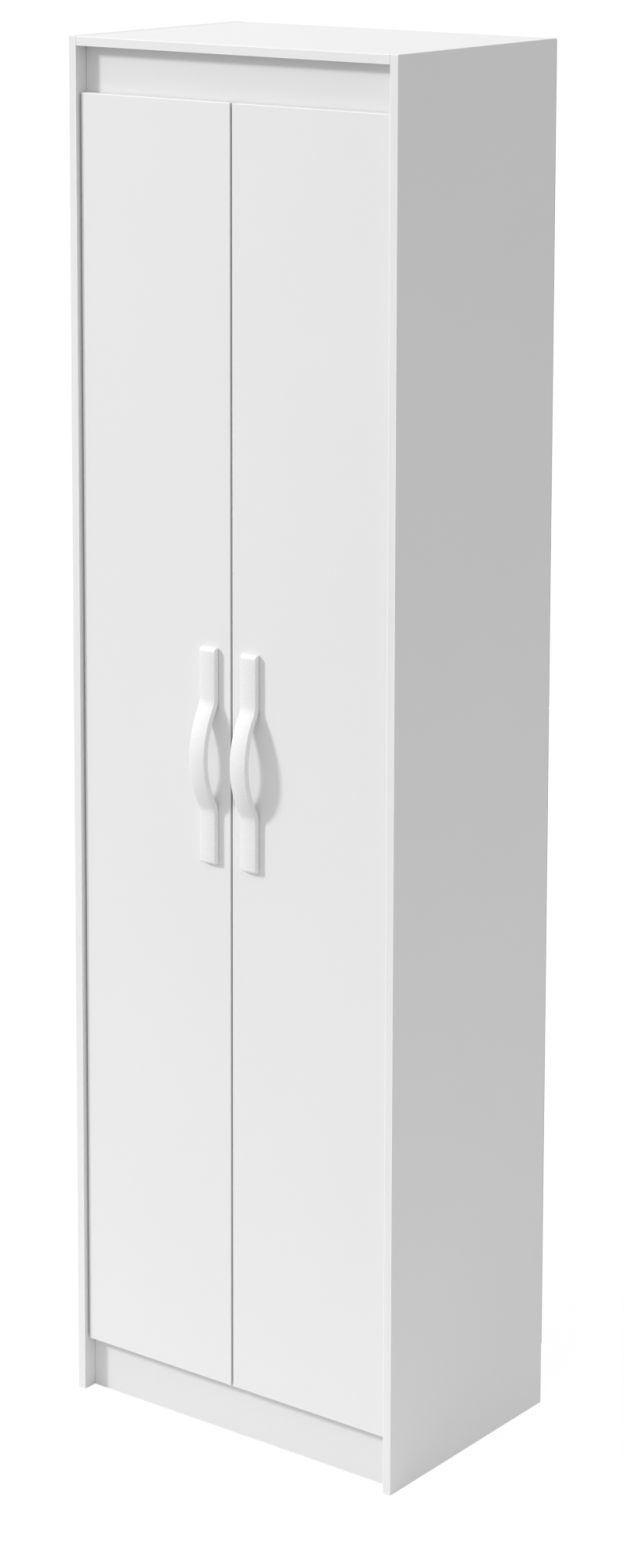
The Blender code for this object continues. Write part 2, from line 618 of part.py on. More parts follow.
def make_door(name, side, meshes):
    """A door with its handle, screws, bumpers and hinges; side is -1 on the left and 1 on the right."""
    arm, cup, pin, handle, screw, bumper = meshes
    axis = bpy.data.objects.new(f"{name}_hinge_axis", None)
    PARTS.objects.link(axis)
    axis.location = (side * PIN_X, behind(PIN_Y), 0)

    outer = side * (INNER_HALF - DOOR_SIDE_GAP)
    free = side * DOOR_MEETING_GAP / 2
    front = behind(DOOR_RECESS)
    back = behind(DOOR_BACK)
    door = board(f"{name}_door", sorted((outer, free)), (front, back), (DOOR_FOOT_REVEAL, DOOR_TOP),
                 edge=DOOR_EDGE, hinge=axis)
    bore_x = outer - side * (CUP_BORE_EDGE + CUP_BORE_RADIUS)
    for height in hinge_heights().values():
        drill(door, f"{name}_cup_bore", CUP_BORE_RADIUS, "Y", front + CUP_SKIN, back + CUP_SKIN,
              (bore_x, height), FINE_SIDES)

    grip = add_object(f"{name}_handle", handle, "white plastic",
                      (side * HANDLE_FROM_MEETING_LINE, front - FIT_GAP, HANDLE_CENTRE_HEIGHT), axis)
    round_edges(grip, HANDLE_EDGE, 2)
    for level, sign in (("lower", -1), ("upper", 1)):
        across = (side * HANDLE_FROM_MEETING_LINE, HANDLE_CENTRE_HEIGHT + sign * SCREW_OFFSET)
        drill(door, f"{name}_screw_hole", SCREW_HOLE_RADIUS, "Y", front - DOOR_THICKNESS,
              back + DOOR_THICKNESS, across)
        drill(grip, f"{name}_handle_hole", SCREW_HOLE_RADIUS, "Y",
              front - FIT_GAP - HANDLE_THICKNESS + SCREW_HOLE_SKIN, back, across)
        head = back + FIT_GAP + SCREW_HEAD_HEIGHT
        fastener = add_object(f"{name}_handle_screw_{level}", screw, "zinc", (across[0], head, across[1]), axis)
        fastener.rotation_euler.x = pi / 2

    stops = (("lower", PLINTH_HEIGHT + FIT_GAP + BOARD / 2), ("upper", (HEADER_FOOT + DOOR_TOP) / 2))
    for level, height in stops:
        add_object(f"{name}_bumper_{level}", bumper, "rubber",
                   (free + side * BUMPER_FROM_EDGE, behind((DOOR_BACK + RAIL_RECESS) / 2), height), axis)
    make_hinges(name, side, axis, (arm, cup, pin))


def main():
    make_side_panel("left_side_panel", -1)
    make_side_panel("right_side_panel", 1)
    make_frame_boards()
    make_shelves()
    make_shelf_supports()
    make_back()
    make_wall_bracket()
    bumper_length = RAIL_RECESS - DOOR_BACK - 2 * FIT_GAP
    meshes = (hinge_arm_mesh(), hinge_cup_mesh(),
              cylinder_mesh("hinge_pin", PIN_RADIUS, 2 * PIN_HALF_LENGTH, "Z", PIN_SIDES),
              handle_mesh(), screw_mesh(),
              cylinder_mesh("bumper", BUMPER_RADIUS, bumper_length, "Y", HOLE_SIDES))
    make_door("left", -1, meshes)
    make_door("right", 1, meshes)


main()
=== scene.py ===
"""Looks of a tall, narrow, white utility cabinet with two inset doors and bow handles.

The packed CAD model is the frame. This file gives its boards, doors and hardware their finishes, adds
the moulded handles, screws, cam fittings, nails and pads that ride on it, and sets floor, light and camera.
Metres; X to the right and Y to the back as seen from the front, Z up from the floor.
"""

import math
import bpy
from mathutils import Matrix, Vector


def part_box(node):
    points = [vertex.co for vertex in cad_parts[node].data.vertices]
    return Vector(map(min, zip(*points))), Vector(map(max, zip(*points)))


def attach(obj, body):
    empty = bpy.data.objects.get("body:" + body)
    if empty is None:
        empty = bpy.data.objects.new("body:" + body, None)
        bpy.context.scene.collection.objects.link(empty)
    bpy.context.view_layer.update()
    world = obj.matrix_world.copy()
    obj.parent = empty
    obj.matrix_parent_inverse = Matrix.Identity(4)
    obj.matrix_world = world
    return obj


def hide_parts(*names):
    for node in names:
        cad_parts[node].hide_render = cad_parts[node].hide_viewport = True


bl_info = {
    "name": "Utility cabinet looks",
    "version": (1, 0, 0),
    "blender": (4, 5, 0),
    "location": "3D Viewport > Sidebar > Cabinet",
    "description": "Finishes, small fittings, floor, light and camera for a two-door utility cabinet",
    "category": "Object",
}

import bpy
import numpy as np
from bpy.props import FloatProperty, FloatVectorProperty, IntProperty, PointerProperty

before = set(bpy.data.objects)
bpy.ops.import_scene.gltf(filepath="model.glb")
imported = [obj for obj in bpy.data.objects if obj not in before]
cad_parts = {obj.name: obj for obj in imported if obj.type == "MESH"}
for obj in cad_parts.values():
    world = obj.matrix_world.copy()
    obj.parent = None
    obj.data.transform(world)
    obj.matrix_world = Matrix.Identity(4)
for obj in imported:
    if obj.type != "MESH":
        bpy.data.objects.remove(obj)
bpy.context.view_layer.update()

# The two sides, with their signs on X
SIDES = {"left": -1, "right": 1}
LEVELS = ("lower", "middle", "upper")
ENDS = ("lower", "upper")
UP = (0.0, 0.0, 1.0)
DOWN = (0.0, 0.0, -1.0)
TO_BACK = (0.0, 1.0, 0.0)
TO_FRONT = (0.0, -1.0, 0.0)

# Two faces of a box: the axis, then 0 for its low end or 1 for its high end
REAR, FOOT = (1, 1), (2, 0)
# Every coated board, with its faces that are left bare
RAW_EDGES = {
    "left_side_panel": (REAR, FOOT),
    "right_side_panel": (REAR, FOOT),
    "top_board": (REAR,),
    "bottom_board": (REAR,),
    "header_rail": (),
    "front_plinth": (FOOT,),
    "rear_plinth": (FOOT,),
    "lowest_shelf": (REAR,),
    "fixed_shelf": (REAR,),
    "upper_shelf": (REAR,),
    "highest_shelf": (REAR,),
    "left_door": (),
    "right_door": (),
}

# A cross recess: the share of its reach where the slope of an arm's tip begins, the half widths of an
# arm's floor and lip as shares of its slot, and how much of its depth is lost by the tips
CROSS_TIP = 0.84
CROSS_FLOOR, CROSS_LIP = 0.38, 0.56
CROSS_LOSS = 0.55
# Height of a low dome where its rim begins, as a share of its rise
DOME_SHOULDER = 0.35
# Points across the front of a handle's band
FRONT_POINTS = 15

HANDLE_LOW, HANDLE_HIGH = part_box("left_handle")


def length(name, description, default):
    """A size in the scene's unit."""
    return FloatProperty(name=name, description=description, default=default, min=0.0,
                         unit="LENGTH", precision=5)


def amount(name, description, default):
    """A plain number from nothing upwards."""
    return FloatProperty(name=name, description=description, default=default, min=0.0)


def angle(name, description, default):
    """An angle, kept in radians."""
    return FloatProperty(name=name, description=description, default=default,
                         subtype="ANGLE", unit="ROTATION")


def point(name, description, default):
    """A point in the scene's unit."""
    return FloatVectorProperty(name=name, description=description, default=default, size=3,
                               subtype="TRANSLATION", unit="LENGTH")


def tint(name, description, default):
    """A colour in linear light."""
    return FloatVectorProperty(name=name, description=description, default=default, size=3,
                               min=0.0, max=1.0, subtype="COLOR")


class CabinetColours(bpy.types.PropertyGroup):
    """Colours of the cabinet's finishes."""

    board: tint("Board", "Matt white coating of the boards", (0.812, 0.812, 0.812))
    door: tint("Door", "Matt white coating of the doors", (0.809, 0.809, 0.809))
    # The header rail and the plinths are painted darker than the boards: painted shade for their recess
    # behind the top board and the doors
    rail: tint("Rail", "Matt white coating of the header rail and the plinths", (0.778, 0.778, 0.778))
    # A painted highlight: a whiter line along the arrises of the boards' front faces
    arris_highlight: tint("Edge banding", "Thin line along the boards' front edges", (0.93, 0.93, 0.93))
    # Painted shade: the doors' upright edges go darker, for the shade in the narrow gaps beside them
    door_gap_shade: tint("Door edge", "The strip on the doors' upright edges", (0.68, 0.68, 0.68))
    grip: tint("Handle", "Moulded white plastic of the handles", (0.890, 0.890, 0.890))
    chip_light: tint("Light chips", "Pale chips of a bare board edge", (0.60, 0.45, 0.29))
    chip_dark: tint("Dark chips", "Dark chips of a bare board edge", (0.30, 0.19, 0.10))
    hardboard: tint("Hardboard", "Bare rear of the back sheets", (0.33, 0.20, 0.11))
    lacquer: tint("Back lacquer", "White inner face of the back sheets", (0.76, 0.76, 0.75))
    strip: tint("Joint strip", "White plastic strip between the back sheets", (0.82, 0.82, 0.81))
    steel: tint("Steel", "Bright zinc-plated steel", (0.66, 0.67, 0.69))
    zinc: tint("Zinc", "Cast zinc and nickel plating", (0.72, 0.71, 0.69))
    pad: tint("Pad", "Milky bumper pads", (0.74, 0.75, 0.76))


class HandleSizes(bpy.types.PropertyGroup):
    """Sizes of the bow handles, which the solids share."""

    length: length("Length", "Length over both feet", HANDLE_HIGH.z - HANDLE_LOW.z)
    width: length("Width", "Width of the band", HANDLE_HIGH.x - HANDLE_LOW.x)
    thickness: length("Thickness", "Thickness at the middle of the band", 0.009)
    span: length("Bow span", "Distance between the two bends", 0.150)
    bend: length("Bend radius", "Radius where a foot turns into the bow", 0.025)
    end_round: length("End round", "Radius at the front of each end", 0.0050)
    crown: length("Crown", "How far the front falls towards its long edges", 0.0012)
    edge: length("Edge", "Radius of the long edges", 0.0007)
    grain: length("Grain", "Distance between the bumps of the pebble grain", 0.0018)
    grain_depth: length("Grain depth", "Depth of the pebble grain", 0.00020)


class FittingSizes(bpy.types.PropertyGroup):
    """Sizes of the screws, cam fittings, nails and pads."""

    plate_head: length("Plate screw head", "Head radius of the screws in the hinge plates", 0.0036)
    cup_head: length("Cup screw head", "Head radius of the screws in the hinge cups", 0.0034)
    grip_head: length("Handle screw head", "Head radius of the handles' screws", 0.0042)
    grip_shank: length("Handle screw shank", "Shank radius of the handles' screws", 0.0019)
    cam: length("Cam radius", "Radius of the cam fittings under the boards", 0.0073)
    cam_inset: length("Cam distance", "Distance of a cam fitting from the board's end", 0.034)
    cam_setback: length("Cam setback", "Distance of a cam fitting from a level board's long edges", 0.060)
    nail: length("Nail head", "Head radius of the nails in the back", 0.0019)
    nail_pitch: length("Nail pitch", "Distance between two nails", 0.118)
    nail_margin: length("Nail margin", "Distance of the end nails from the back's ends", 0.03)
    sunk: length("Sunk depth", "How deep a fitting's rim stands in what carries it", 0.0002)
    seed: IntProperty(name="Seed", description="Start of the fittings' random turns", default=12, min=0)


class StageSettings(bpy.types.PropertyGroup):
    """Light, floor and camera."""

    key: amount("Key light", "Watts of the lamp ahead of the cabinet and to its left", 2310.0)
    key_radius: length("Key radius", "Radius of the key lamp", 0.75)
    key_place: point("Key place", "Where the key lamp hangs", (-6.90, -6.15, 5.80))
    horizon: amount("Horizon", "Strength of the sky at the horizon", 0.76)
    zenith: amount("Zenith", "Strength that the sky gains overhead", 0.16)
    floor_near: tint("Near floor", "How much light the floor round the cabinet returns", (0.65, 0.65, 0.65))
    floor_far: tint("Far floor", "How much light the floor some metres away returns", (0.30, 0.30, 0.30))
    floor_seen: tint("Seen floor", "Plain pale floor, as it is seen", (0.95, 0.95, 0.95))
    floor_white: amount("Floor white", "How far the seen floor goes to white", 0.90)
    floor_glow: amount("Floor glow", "Strength of the white that the seen floor goes to", 1.03)
    lens: amount("Lens", "Focal length in millimetres on a 36 mm long side", 84.67)
    camera_place: point("Camera place", "Where the camera stands", (2.788, -3.6843, 2.136))
    camera_turn: angle("Camera turn", "How far the camera is turned from looking straight back", 0.6615)
    camera_tilt: angle("Camera tilt", "How far the camera looks down", 0.1474)
    shift: FloatVectorProperty(name="Shift", description="Shift of the picture, as shares of its long side",
                               default=(0.0357, -0.30), size=2)


class Value:
    """A number, colour or vector from a node; arithmetic on it adds Math nodes."""

    def __init__(self, nodes, socket):
        """An output socket, and the node tree that it is in."""
        self.nodes = nodes
        self.socket = socket

    def __add__(self, other):
        return self.nodes.maths("ADD", self, other)

    def __radd__(self, other):
        return self.nodes.maths("ADD", other, self)

    def __sub__(self, other):
        return self.nodes.maths("SUBTRACT", self, other)

    def __rsub__(self, other):
        return self.nodes.maths("SUBTRACT", other, self)

    def __mul__(self, other):
        return self.nodes.maths("MULTIPLY", self, other)

    def __rmul__(self, other):
        return self.nodes.maths("MULTIPLY", other, self)

    def out(self, name):
        """Another output of the same node."""
        return Value(self.nodes, self.socket.node.outputs[name])


class Nodes:
    """A node tree, the one call that adds a node to it, and the patterns built on that call."""

    def __init__(self, tree):
        self.tree = tree

    def add(self, kind, settings, sockets, output=0):
        """A new node's output; its settings go in first, then the values or links of its sockets."""
        node = self.tree.nodes.new(kind)
        for name, setting in settings.items():
            setattr(node, name, setting)
        for name, value in sockets.items():
            self.feed(node.inputs[name], value)
        return Value(self, node.outputs[output])

    def feed(self, socket, value):
        """Link a value to a socket, or set the socket's own number or colour."""
        if isinstance(value, Value):
            self.tree.links.new(value.socket, socket)
        elif socket.type == "RGBA":
            socket.default_value = (*value, 1.0)
        else:
            socket.default_value = value

    def maths(self, operation, first, second):
        """A Math node on two numbers."""
        return self.add("ShaderNodeMath", {"operation": operation}, {0: first, 1: second})

    def place(self):
        """Where a point lies on the resting cabinet."""
        return self.add("ShaderNodeTexCoord", {}, {}, "Object")

    def parts(self, vector):
        """The three numbers of a vector."""
        split = self.add("ShaderNodeSeparateXYZ", {}, {0: vector})
        return split, split.out("Y"), split.out("Z")

    def stretched(self, vector, scales):
        """A vector with each of its numbers scaled by its own factor."""
        return self.add("ShaderNodeVectorMath", {"operation": "MULTIPLY"}, {0: vector, 1: scales})

    def rise(self, value, low, high):
        """0 up to low and 1 from high, with a smooth rise between."""
        return self.add("ShaderNodeMapRange", {"interpolation_type": "SMOOTHSTEP"},
                        {"Value": value, "From Min": low, "From Max": high})

    def fall(self, value, low, high):
        """1 up to low and 0 from high, with a smooth fall between."""
        return 1.0 - self.rise(value, low, high)

    def mix(self, factor, first, second):
        """The first colour where factor is 0 and the second where it is 1."""
        return self.add("ShaderNodeMix", {"data_type": "RGBA"}, {0: factor, 6: first, 7: second}, 2)

    def noise(self, vector, scale, detail):
        """A soft random field from 0 to 1, with this many waves in a metre and finer octaves over them."""
        return self.add("ShaderNodeTexNoise", {}, {"Vector": vector, "Scale": scale, "Detail": detail})

    def cells(self, vector, scale, dimensions="3D"):
        """Distance from the nearest of scattered points, in steps of one over the scale."""
        return self.add("ShaderNodeTexVoronoi", {"voronoi_dimensions": dimensions},
                        {"Vector": vector, "Scale": scale})

    def bump(self, height, distance):
        """A surface direction from a height, which counts in units of the distance."""
        return self.add("ShaderNodeBump", {}, {"Height": height, "Distance": distance, "Strength": 1.0})


def scaled(colour, factor):
    """A colour made lighter or darker, up to white."""
    return tuple(min(factor * part, 1.0) for part in colour)


def new_finish(name, constants, varied):
    """A material: its shader's constants, and a function of its nodes for colour, roughness and normal."""
    material = bpy.data.materials.new(name)
    material.use_nodes = True
    nodes = Nodes(material.node_tree)
    colour, rough, normal = varied(nodes)
    sockets = {**constants, "Base Color": colour, "Roughness": rough, "Normal": normal}
    shader = material.node_tree.nodes["Principled BSDF"]
    for socket, value in sockets.items():
        nodes.feed(shader.inputs[socket], value)
    return material


def face_distances(nodes, place, box):
    """Distance from the nearer of a box's two faces on each axis."""
    low, high = box
    return [nodes.maths("MINIMUM", along - start, end - along)
            for along, start, end in zip(nodes.parts(place), low, high)]


def arris_distance(nodes, distances):
    """Distance from the nearest edge, for a point on a box: the middle one of its three distances."""
    across, deep, high = distances
    smaller = nodes.maths("MINIMUM", across, deep)
    larger = nodes.maths("MAXIMUM", across, deep)
    return nodes.maths("MAXIMUM", smaller, nodes.maths("MINIMUM", larger, high))


def raw_mask(nodes, place, box, faces):
    """1 on the named faces of a box and in a thin skin behind them, and 0 elsewhere."""
    along = nodes.parts(place)
    skin, blend = 0.00012, 0.00020
    masks = []
    for axis, end in faces:
        face = box[end][axis]
        depth = along[axis] - face if end == 0 else face - along[axis]
        masks.append(nodes.fall(depth, skin, skin + blend))
    whole = masks[0]
    for mask in masks[1:]:
        whole = nodes.maths("MAXIMUM", whole, mask)
    return whole


def board_finish(name, coat, colours):
    """Matt coating with a faint cloud and a fine pearl.

    A whiter line 1 mm wide follows the arrises of the front face: a painted highlight where the rounded
    arrises catch the light. A door's upright edges are painted darker than its face: painted shade for the
    narrow gaps beside them.
    Bare faces show chips: cells between two browns, each sunk towards its middle.
    """
    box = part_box(name)
    skin, line = 0.0001, 0.0009

    def varied(nodes):
        place = nodes.place()
        distances = face_distances(nodes, place, box)
        arris = arris_distance(nodes, distances)
        front = nodes.fall(nodes.parts(place)[1] - box[0].y, skin, 4 * skin)
        # A painted highlight: a whiter line along the arrises of the front face
        band = front * nodes.fall(arris, line, line + 4 * skin)
        # Painted shade on a door's upright edges, for the shade in the gaps beside them
        edge = nodes.fall(distances[0], skin, 3 * skin)
        cloud = nodes.noise(place, scale=4.0, detail=3.0)
        pearl = nodes.noise(place, scale=850.0, detail=2.0)
        colour = nodes.mix(cloud, scaled(coat, 0.985), scaled(coat, 1.012))
        if name.endswith("_door"):
            colour = nodes.mix(edge, colour, colours.door_gap_shade)
        colour = nodes.mix(band, colour, colours.arris_highlight)
        rough = 0.80 + 0.08 * cloud + 0.06 * pearl - 0.30 * band
        height = pearl
        faces = RAW_EDGES[name]
        if faces:
            bare = raw_mask(nodes, place, box, faces)
            chips = nodes.cells(nodes.stretched(place, (1.0, 1.0, 0.55)), scale=720.0)
            tone = nodes.parts(chips.out("Color"))[0]
            wood = nodes.mix(tone, colours.chip_light, colours.chip_dark)
            colour = nodes.mix(bare, colour, wood)
            rough = rough + 0.15 * bare
            height = pearl + 8.0 * bare * chips
        return colour, rough, nodes.bump(height, distance=0.00003)

    return new_finish(f"{name}_coating", {"IOR": 1.45, "Specular IOR Level": 0.20}, varied)


def hardboard_finish(name, colours):
    """White lacquer on the inner face, and behind it brown pressed fibre with dark flecks."""
    inner_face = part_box(name)[0].y
    lacquer, blend = 0.0003, 0.0002

    def varied(nodes):
        place = nodes.place()
        depth = nodes.parts(place)[1] - inner_face
        rear = nodes.rise(depth, lacquer, lacquer + blend)
        fibre = nodes.noise(nodes.stretched(place, (1.0, 1.0, 0.30)), scale=420.0, detail=4.0)
        cloud = nodes.noise(place, scale=9.0, detail=4.0)
        fleck = nodes.noise(nodes.stretched(place, (1.0, 1.0, 0.45)), scale=260.0, detail=1.0)
        fleck = nodes.rise(fleck, 0.66, 0.74)
        deep, pale = scaled(colours.hardboard, 0.70), scaled(colours.hardboard, 1.28)
        brown = nodes.mix(0.45 * cloud + 0.55 * fibre, deep, pale)
        brown = nodes.mix(0.45 * fleck, brown, scaled(colours.hardboard, 0.35))
        colour = nodes.mix(rear, colours.lacquer, brown)
        rough = 0.46 + rear * (0.04 + 0.30 * fibre)
        return colour, rough, nodes.bump(fibre, distance=0.00004 + 0.00008 * rear)

    return new_finish(f"{name}_fibre", {"IOR": 1.45}, varied)


def metal_finish(name, colour, dull):
    """Plated metal: fine drawn lines along Z, a soft mottle and a roughness that follows both."""

    def varied(nodes):
        place = nodes.place()
        lines = nodes.noise(nodes.stretched(place, (1.0, 1.0, 0.06)), scale=5200.0, detail=2.0)
        mottle = nodes.noise(place, scale=300.0, detail=3.0)
        shade = nodes.mix(0.5 * lines + 0.5 * mottle, scaled(colour, 0.90), colour)
        rough = dull + 0.10 * lines + 0.10 * mottle
        return shade, rough, nodes.bump(lines, distance=0.000008)

    return new_finish(name, {"Metallic": 1.0}, varied)


def plastic_finish(name, colour, dull):
    """Plain extruded or moulded plastic with a faint flow mottle and a satin skin."""

    def varied(nodes):
        place = nodes.place()
        flow = nodes.noise(nodes.stretched(place, (0.2, 1.0, 1.0)), scale=160.0, detail=3.0)
        skin = nodes.noise(place, scale=2200.0, detail=1.0)
        shade = nodes.mix(flow, scaled(colour, 0.97), colour)
        return shade, dull + 0.08 * flow, nodes.bump(skin, distance=0.00001)

    return new_finish(name, {"IOR": 1.46}, varied)


def grip_finish(sizes, colours):
    """White plastic: pebble grain over the front, and satin sides and ends.

    The map's first number is the distance round the band from the middle of its front, and its second the
    distance along it. The grain is a field of low domes round scattered points, highest where the distance
    from the nearest point is least. It fades out at the front's long edges and towards the handle's ends.
    """
    half = sizes.width / 2
    edge_fade = (half - 0.0012, half + 0.0004)
    end_fade = (0.0030, 0.0070)

    def varied(nodes):
        flat = nodes.add("ShaderNodeUVMap", {"uv_map": "Band"}, {})
        across = nodes.maths("ABSOLUTE", nodes.parts(flat)[0], 0.0)
        height = nodes.parts(nodes.place())[2]
        from_end = nodes.maths("MINIMUM", HANDLE_HIGH.z - height, height - HANDLE_LOW.z)
        front = nodes.fall(across, *edge_fade) * nodes.rise(from_end, *end_fade)
        pebble = nodes.cells(flat, scale=1.0 / sizes.grain, dimensions="2D")
        dome = nodes.fall(pebble, 0.05, 0.62)
        fine = nodes.noise(nodes.place(), scale=2600.0, detail=2.0)
        # Painted light: the grained front is darker than the plain sides and ends, which stand lighter for
        # the highlight on the rounded ends, and each dome is darker in its valleys than on its top, painted
        # shade in the grain
        painted_grain_shade = nodes.mix(dome, scaled(colours.grip, 0.93), scaled(colours.grip, 0.96))
        shade = nodes.mix(front, colours.grip, painted_grain_shade)
        rough = 0.34 + 0.05 * front + 0.05 * fine
        height = front * dome * sizes.grain_depth + fine * 0.00001
        return shade, rough, nodes.bump(height, distance=1.0)

    return new_finish("grip_grain", {"IOR": 1.46}, varied)


def dress(node, material):
    """Give every material slot of a CAD node this material."""
    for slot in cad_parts[node].material_slots:
        slot.material = material


def facing(out, turns):
    """The right, up and outward directions of a fitting that faces out, for each turn about that way.

    Without a turn, up is the cabinet's own up, or its front for a fitting that faces up or down.
    """
    out = np.array(out, float)
    up = np.array(TO_FRONT if abs(out[2]) > 0.5 else UP)
    right = np.cross(up, out)
    turns = np.asarray(turns, float)[:, None]
    turned_right = np.cos(turns) * right + np.sin(turns) * up
    turned_up = np.cos(turns) * up - np.sin(turns) * right
    return np.stack((turned_right, turned_up, np.broadcast_to(out, turned_up.shape)), axis=1)


def stamped(points, places, frames):
    """Rings of points at every place: the place, plus each number of a point times its direction there."""
    return np.asarray(places, float)[:, None, None, :] + np.einsum("rsk,nkj->nrsj", points, frames)


def ring_faces(copies, rings, sides):
    """Quads between neighbouring rings of every copy, counter-clockwise seen from outside."""
    copy, ring, side = np.indices((copies, rings - 1, sides))
    following = (side + 1) % sides
    near = (copy * rings + ring) * sides
    far = near + sides
    quads = np.stack((near + side, far + side, far + following, near + following), axis=-1)
    return quads.reshape(-1, 4)


def closed_mesh(name, points):
    """A mesh of the rings of every copy, its first and last ring each closed by a pole in its middle."""
    copies, rings, sides = points.shape[:3]
    poles = np.stack((points[:, 0].mean(1), points[:, -1].mean(1)), axis=1)
    vertices = np.concatenate((points.reshape(-1, 3), poles.reshape(-1, 3)))
    copy, side = np.indices((copies, sides))
    following = (side + 1) % sides
    first = copy * rings * sides
    last = first + (rings - 1) * sides
    pole = copies * rings * sides + 2 * copy
    head = np.stack((pole, first + side, first + following), axis=-1).reshape(-1, 3)
    foot = np.stack((last + side, pole + 1, last + following), axis=-1).reshape(-1, 3)
    faces = ring_faces(copies, rings, sides).tolist() + head.tolist() + foot.tolist()
    mesh = bpy.data.meshes.new(name)
    mesh.from_pydata(vertices.tolist(), [], faces)
    mesh.shade_smooth()
    return mesh


def add_piece(name, mesh, material, body, replaced=()):
    """Put a finished mesh in the scene, on a body, and in place of the CAD nodes that it replaces."""
    piece = bpy.data.objects.new(name, mesh)
    bpy.context.scene.collection.objects.link(piece)
    mesh.materials.append(material)
    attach(piece, body)
    if replaced:
        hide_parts(*replaced)


def smooth_rise(values, low, high):
    """0 up to low and 1 from high; between them, 3 t squared less 2 t cubed for a share t of the way."""
    share = np.clip((values - low) / (high - low), 0.0, 1.0)
    return share * share * (3.0 - 2.0 * share)


def even_angles(sides):
    """Angles of a full turn in equal steps."""
    return np.arange(sides) * 2.0 * math.pi / sides


def turned_points(profile, angles):
    """A profile of (radius, height) turned about the outward axis: radius times cosine and sine, height.

    The angles are one row for all rings, or a row for each ring.
    """
    radius, height = np.asarray(profile, float).T[..., None]
    right, up = radius * np.cos(angles), radius * np.sin(angles)
    return np.stack((right, up, np.broadcast_to(height, right.shape)), axis=-1)


def dome_profile(radius, rise, sunk, shares):
    """A low dome with rings at these shares of its radius.

    Its height falls from the rise to the shoulder with the square of the share. A small round leads from
    there to the upright rim, which is sunk in what carries the dome and turns in to a flat underside.
    """
    crown = np.stack((shares * radius, rise * (1.0 - (1.0 - DOME_SHOULDER) * shares ** 2)), axis=-1)
    rim = [(0.985 * radius, 0.30 * rise), (radius, 0.15 * rise),
           (radius, -0.8 * sunk), (0.98 * radius, -sunk)]
    return np.concatenate((crown, rim))


def cross_angles(radius, floor, lip):
    """For each ring of a head, angles whose columns follow the walls of a cross.

    Beside each arm's axis come the edge of its floor and its lip, where the sine of the angle is that half
    width over the ring's radius. On small rings both stop short of the diagonal between two arms, which
    has the sine 0.707. More follow in equal steps up to the diagonal, and the other half is mirrored.
    """
    floor_edge = np.arcsin(np.minimum(floor / radius, 0.64))
    lip_edge = np.arcsin(np.minimum(lip / radius, 0.69))
    diagonal = math.pi / 4
    spread = [lip_edge + share * (diagonal - lip_edge) for share in (0.25, 0.5, 0.75)]
    eighth = np.stack((floor_edge / 2, floor_edge, lip_edge, *spread), axis=-1)
    axis, corner = np.zeros_like(radius), np.full_like(radius, diagonal)
    quarter = np.column_stack((axis, eighth, corner, 2.0 * diagonal - eighth[:, ::-1]))
    arms = even_angles(4)[:, None]
    return (arms + quarter[:, None, :]).reshape(len(radius), -1)


def cross_rings(first, last, count, reach):
    """Shares of a head's radius for its rings: equal steps, and three on the slope of the arms' tips."""
    return np.union1d(np.linspace(first, last, count), reach * np.linspace(CROSS_TIP, 1.0, 3))


def crossed_points(profile, rings, reach, slot, depth):
    """A turned profile with a cross sunk in its first rings.

    The cross is deep where the nearer axis is within the floor's half width, and stops at the lip's and at
    its reach, with S-shaped walls between. Its depth falls in proportion to the distance from the middle.
    """
    profile = np.asarray(profile, float)
    floor, lip = CROSS_FLOOR * slot, CROSS_LIP * slot
    points = turned_points(profile, cross_angles(profile[:, 0], floor, lip))
    right, up, _ = np.moveaxis(points[:rings], -1, 0)
    near = np.minimum(np.abs(right), np.abs(up))
    far = np.hypot(right, up)
    wall = (1.0 - smooth_rise(near, floor, lip)) * (1.0 - smooth_rise(far, CROSS_TIP * reach, reach))
    points[:rings, :, 2] -= depth * wall * (1.0 - CROSS_LOSS * far / reach)
    return points


def cross_head(radius, rise, sunk, reach=0.62, slot=0.24, depth=0.42):
    """A domed screw head with a cross recess; its reach, slot and depth are shares of the radius."""
    shares = cross_rings(first=0.06, last=0.94, count=11, reach=reach)
    profile = dome_profile(radius, rise, sunk, shares)
    return crossed_points(profile, len(shares), reach * radius, slot * radius, depth * radius)


def turns_for(count, sizes):
    """Random turns of a row of fittings, the same on every run."""
    return np.random.default_rng(sizes.seed + count).uniform(0.0, 2.0 * math.pi, count)


def hinge_boxes(side, part):
    """Boxes of one side's hinge arms or cups, from the lowest."""
    return [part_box(f"{side}_{level}_hinge_{part}") for level in LEVELS]


